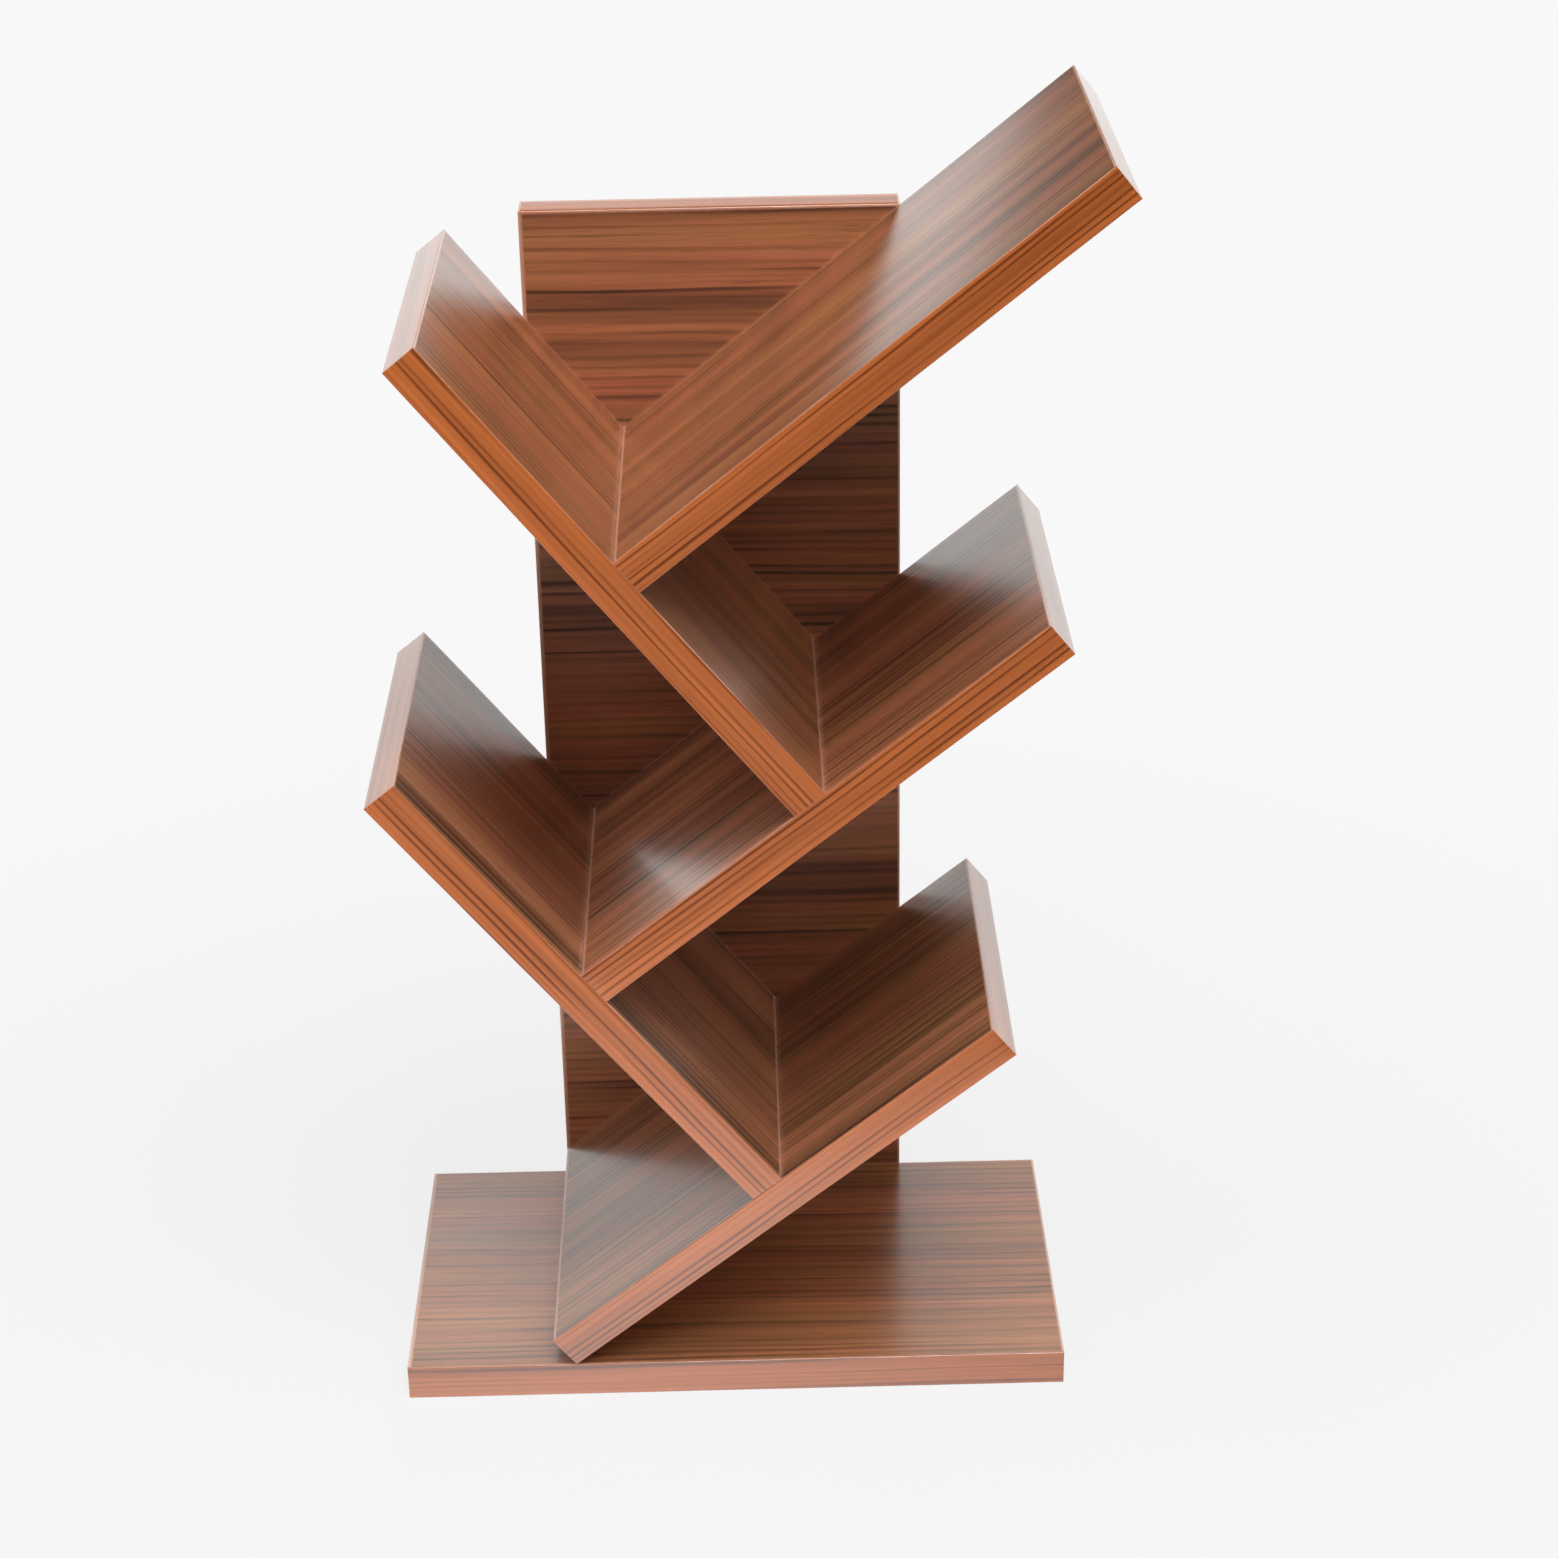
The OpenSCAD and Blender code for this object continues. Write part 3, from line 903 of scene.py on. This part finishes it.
def steel_material():
    """Zinc plating: cloudy tint and roughness, and fine marks from turning."""
    made, tree = new_material("zinc_plated_steel")
    place = object_place(tree)
    cloud = noise(tree, place, (300.0, 300.0, 300.0), 4.0, 0.6)
    marks = noise(tree, place, (4000.0, 900.0, 4000.0))
    zinc = [(0.3, (0.42, 0.43, 0.45)), (0.55, (0.60, 0.61, 0.63)), (0.8, (0.70, 0.69, 0.66))]
    colour = ramp(tree, cloud, zinc)
    rough = math(tree, "ADD", spread(tree, cloud, 0.3, 0.7, 0.24, 0.40), math(tree, "MULTIPLY", marks, 0.08))
    finish_solid(tree, colour, rough, bumps(tree, marks, 0.00001, 0.5), {"Metallic": 1.0})
    return made


def beech_material():
    """Pale pinkish beech with short flecks, rough and unvarnished."""
    made, tree = new_material("raw_beech")
    place = object_place(tree)
    flecks = noise(tree, place, (700.0, 700.0, 260.0), 3.0)
    clouds = noise(tree, place, (60.0, 60.0, 60.0), 3.0)
    tone = math(tree, "ADD", math(tree, "MULTIPLY", flecks, 0.6), math(tree, "MULTIPLY", clouds, 0.4))
    beech = [(0.3, (0.46, 0.27, 0.13)), (0.5, (0.62, 0.40, 0.22)), (0.7, (0.70, 0.48, 0.29))]
    colour = ramp(tree, tone, beech)
    rough = spread(tree, flecks, 0.3, 0.7, 0.62, 0.78)
    finish_solid(tree, colour, rough, bumps(tree, flecks, 0.00005, 0.6))
    return made


def cap_material():
    """Brown moulded plastic with a fine leather-like grain and faint rub marks."""
    made, tree = new_material("brown_cap_plastic")
    place = object_place(tree)
    grain = noise(tree, place, (2600.0, 2600.0, 2600.0))
    rub = noise(tree, place, (220.0, 220.0, 220.0), 3.0)
    brown = [(0.3, (0.070, 0.030, 0.018)), (0.6, (0.105, 0.045, 0.026)), (0.8, (0.15, 0.068, 0.04))]
    colour = ramp(tree, rub, brown)
    rough = spread(tree, rub, 0.3, 0.7, 0.42, 0.55)
    finish_solid(tree, colour, rough, bumps(tree, grain, 0.00004, 0.7))
    return made


steel_finish = steel_material()
for piece in (panel_screws, base_screws, joint_screws):
    piece.data.materials.append(steel_finish)
dowels.data.materials.append(beech_material())
caps.data.materials.append(cap_material())
print("small parts finished")

# %% [markdown]
# ## Floor, room and backdrop card
# The bookshelf stands on a plain pale floor in a plain pale room. Near the object a seventh of the floor's
# tone comes from the lamps, enough to keep a faint shadow, and further out it fades into the tone of the
# room, so no horizon shows. A white room all round would be simpler, but every board would then be hazy all
# over, and the picture's wood tells what the real room was like. The front edges are hazy near the floor,
# more so on the left, and clear higher up, so the floor carries a painted reflection: for mirroring faces it
# glows like white paper that ends about half a metre in front and is lit from the left, brighter than the
# picture can show. For light that only bounces, the floor is painted pale in front and dark behind, painted
# bounce light. The long grey-white reflections on the upper faces are painted reflections too: they come from
# a white card close behind that glows, though it is no lamp, for mirroring faces alone. Its upper edge is
# level with the top board, so that board's far end shows its brown again. The left of the base is the
# haziest, so the card has a painted bright spot where that part mirrors it. The boards' ends show that it is
# weaker far to the sides, and it carries a painted shadow low in the middle, where the bookshelf shades it.
# Everything else that the wood mirrors is dark.

# %% Floor
FLOOR_REACH = 12
LIT_TO_EVEN = (0.25, 0.90, 0.86, 1.0)
NEAR_TO_FAR = (0.10, 0.60, 1.0, 0.0)
# Painted reflection: strength of the extra glow that mirroring faces see, from left to right
PAINTED_GLOW_LEFT_TO_RIGHT = (-0.16, 0.16, 0.50, 0.12)
# Painted bounce light: where the floor turns from dark behind to pale in front, for light that only bounces
PAINTED_BOUNCE_BEHIND_TO_FRONT = (-0.04, -0.09)


def flat_sheet(name, corners):
    """One flat four-cornered sheet."""
    mesh = bpy.data.meshes.new(name)
    mesh.from_pydata(corners, [], [(0, 1, 2, 3)])
    return add_object(name, mesh)


def mirrored_rays(tree, path):
    """One for rays that a mirroring or clear surface sends out, otherwise zero."""
    glossy, through = path.outputs["Is Glossy Ray"], path.outputs["Is Transmission Ray"]
    return math(tree, "ADD", glossy, through, clamp=True)


def floor_material():
    """Even glow with a share of lit pale paint near the object. Mirroring faces see a painted reflection: the
    floor glows for them near the object, most of all on the left, and goes dark further out. For light that
    only bounces it is painted pale in front and dark behind, painted bounce light."""
    made, tree = new_material("pale_floor")
    place = object_place(tree)
    distance = node(tree, "ShaderNodeVectorMath", {0: place}, operation="LENGTH").outputs["Value"]
    speckle = noise(tree, place, (140.0, 140.0, 140.0), 3.0)
    paint = ramp(tree, speckle, [(0.3, (0.850, 0.850, 0.850)), (0.7, (0.870, 0.870, 0.870))])
    lit = node(tree, "ShaderNodeBsdfDiffuse", {"Color": paint}).outputs[0]
    pale = mix_shaders(tree, spread(tree, distance, *LIT_TO_EVEN), lit, glow(tree, 1.0))
    path = node(tree, "ShaderNodeLightPath")
    near = spread(tree, distance, *NEAR_TO_FAR)
    shown = math(tree, "MAXIMUM", path.outputs["Is Camera Ray"], near)
    seen = mix_shaders(tree, shown, glow(tree, 0.0), pale)
    sideways, forth, _ = split(tree, place)
    mirrored = mirrored_rays(tree, path)
    nearest = math(tree, "MULTIPLY", mirrored, math(tree, "POWER", near, 2.0))
    # Painted reflection: mirroring faces see an extra glow near the object, strongest on the left, as if lit
    # white paper lay there
    painted_reflection_glow = math(tree, "MULTIPLY", nearest, spread(tree, sideways, *PAINTED_GLOW_LEFT_TO_RIGHT))
    seen = node(tree, "ShaderNodeAddShader", {0: seen, 1: glow(tree, painted_reflection_glow)}).outputs[0]
    # Painted bounce light: for light that only bounces, the floor is dark behind and pale in front
    painted_bounce_greys = [(0.0, (0.12, 0.12, 0.12)), (1.0, (0.88, 0.88, 0.88))]
    sheet = ramp(tree, spread(tree, forth, *PAINTED_BOUNCE_BEHIND_TO_FRONT), painted_bounce_greys)
    bounce = node(tree, "ShaderNodeBsdfDiffuse", {"Color": sheet}).outputs[0]
    direct = math(tree, "ADD", path.outputs["Is Camera Ray"], mirrored, clamp=True)
    finish_material(tree, mix_shaders(tree, direct, bounce, seen))
    return made


floor_corners = [(x * FLOOR_REACH, y * FLOOR_REACH, 0) for x, y in ((-1, -1), (1, -1), (1, 1), (-1, 1))]
floor = flat_sheet("floor", floor_corners)
floor.data.materials.append(floor_material())
print("floor made")

# %% Backdrop card
CARD_Y = 0.387
CARD_TOP = 0.640
CARD_REACH = 3
CARD_WHITE = (0.96, 1.0, 1.0, 1.0)
# Painted bright spot and painted shadow of the bookshelf on the glowing card: middle, inner and outer
# distance, and strength at the middle
PAINTED_BRIGHT_SPOT = ((-0.18, CARD_Y, 0.30), 0.04, 0.12, 1.7)
PAINTED_SHADOW_SPOT = ((0.01, CARD_Y, 0.31), 0.05, 0.11, 0.70)
MIDDLE_TO_SIDES = (0.20, 0.33, 1.0, 0.87)


def round_spot(tree, place, middle, inner, outer, at_middle):
    """A value at a spot's middle that eases to one between two distances from it."""
    away = node(tree, "ShaderNodeVectorMath", {0: place, 1: middle}, operation="DISTANCE")
    return spread(tree, away.outputs["Value"], inner, outer, at_middle, 1.0)


def card_material():
    """White glow in mirroring and clear surfaces alone, a painted reflection from no lamp: brighter at one
    low spot, a painted pool of light, and weaker behind the bookshelf, a painted shadow, and to the sides:
    the product of four factors."""
    made, tree = new_material("painted_reflection_card")
    mirrored = mirrored_rays(tree, node(tree, "ShaderNodeLightPath"))
    place = object_place(tree)
    # Painted pool of light: the card glows brighter at one low spot on the left
    brighter = round_spot(tree, place, *PAINTED_BRIGHT_SPOT)
    # Painted shadow: the card glows weaker low in the middle, behind the bookshelf
    shaded = round_spot(tree, place, *PAINTED_SHADOW_SPOT)
    sideways = math(tree, "ABSOLUTE", split(tree, place)["X"])
    middle = spread(tree, sideways, *MIDDLE_TO_SIDES)
    strength = math(tree, "MULTIPLY", math(tree, "MULTIPLY", brighter, shaded), middle)
    strength = math(tree, "MULTIPLY", mirrored, strength)
    finish_material(tree, glow(tree, strength, CARD_WHITE))
    return made


card_corners = [(x * CARD_REACH, CARD_Y, z) for x, z in ((-1, 0), (1, 0), (1, CARD_TOP), (-1, CARD_TOP))]
card = flat_sheet("backdrop_card", card_corners)
card.data.materials.append(card_material())
# The card is a painted reflection: a glowing sheet, no lamp, seen only by mirroring and clear surfaces
card.visible_camera = False
card.visible_diffuse = False
card.visible_shadow = False
print("card top at", CARD_TOP, "m")

# %% Room
WHITE = (1.0, 1.0, 1.0, 1.0)


def room_world():
    """Pale for the camera, nearly dark for mirroring faces, and a little even light for everything else."""
    world = bpy.data.worlds.new("studio")
    world.use_nodes = True
    tree = world.node_tree
    tree.nodes.clear()
    mirrored, seen, even = (
        node(tree, "ShaderNodeBackground", {"Color": colour, "Strength": strength}).outputs[0]
        for colour, strength in ((PALE, 0.03), (PALE, 1.0), (WHITE, 0.01))
    )
    path = node(tree, "ShaderNodeLightPath")
    unseen = mix_shaders(tree, mirrored_rays(tree, path), even, mirrored)
    room = mix_shaders(tree, path.outputs["Is Camera Ray"], unseen, seen)
    node(tree, "ShaderNodeOutputWorld", {"Surface": room})
    return world


bpy.context.scene.world = room_world()
print("room made")

# %% [markdown]
# ## Lamps
# How dark the spaces under the boards are tells where the light came from. Most of it falls from two large
# soft lamps high above and a little in front, so every board shades the panel below it. Weaker soft lamps
# on the left and right model the slopes, one in front lights the edges, and one behind keeps the back
# readable. A sheet that lies low in front on the left, just outside the picture, sends light up on to the
# undersides. The powers could be guessed one by one, but they were fitted to tones measured on the boards.

# %% Lamps
LAMP_AWAY = 3.0
SHELF_MIDDLE = Vector((0.0, 0.0, 0.3))


def area_lamp(name, size, power, place, turn, mirrored):
    """A flat lamp that shines down when it isn't turned. It may be kept out of mirroring faces."""
    data = bpy.data.lights.new(name, "AREA")
    data.shape = "RECTANGLE"
    data.size, data.size_y = size
    data.energy = power
    made = add_object(name, data)
    made.location = place
    made.rotation_euler = turn
    made.visible_glossy = mirrored


def soft_lamp(name, azimuth, height, size, power, mirrored=True):
    """A square lamp that looks at the shelf's middle. Its direction is given by the angle round the shelf,
    from the front towards the right, and the angle above the floor."""
    round_by, raise_by = np.radians(azimuth), np.radians(height)
    out = np.cos(raise_by)
    toward = Vector((np.sin(round_by) * out, -np.cos(round_by) * out, np.sin(raise_by)))
    turn = (-toward).to_track_quat("-Z", "Y").to_euler()
    area_lamp(name, (size, size), power, SHELF_MIDDLE + LAMP_AWAY * toward, turn, mirrored)


soft_lamp("high_lamp", azimuth=25, height=69, size=1.5, power=42.5)
soft_lamp("top_lamp", azimuth=0, height=87, size=1.3, power=20.0)
soft_lamp("left_lamp", azimuth=-90, height=60, size=1.1, power=13.0)
soft_lamp("low_left_lamp", azimuth=-60, height=35, size=1.3, power=6.5)
soft_lamp("right_lamp", azimuth=63, height=45, size=1.3, power=17.0)
soft_lamp("front_lamp", azimuth=0, height=45, size=1.1, power=6.0)
soft_lamp("rear_lamp", azimuth=180, height=6, size=1.0, power=20.0, mirrored=False)
area_lamp("low_reflector", (1.2, 0.7), 5.0, (-0.55, -0.55, 0.01), (np.pi, 0.0, 0.0), mirrored=False)

# %% [markdown]
# ## Last settings
# The Standard view shows each colour about as it is written, so the finish looks right under other light too.
# A stronger view could flatter this one picture, but the materials would then be wrong everywhere else.

# %% Look of the picture
bpy.context.scene.view_settings.view_transform = "Standard"
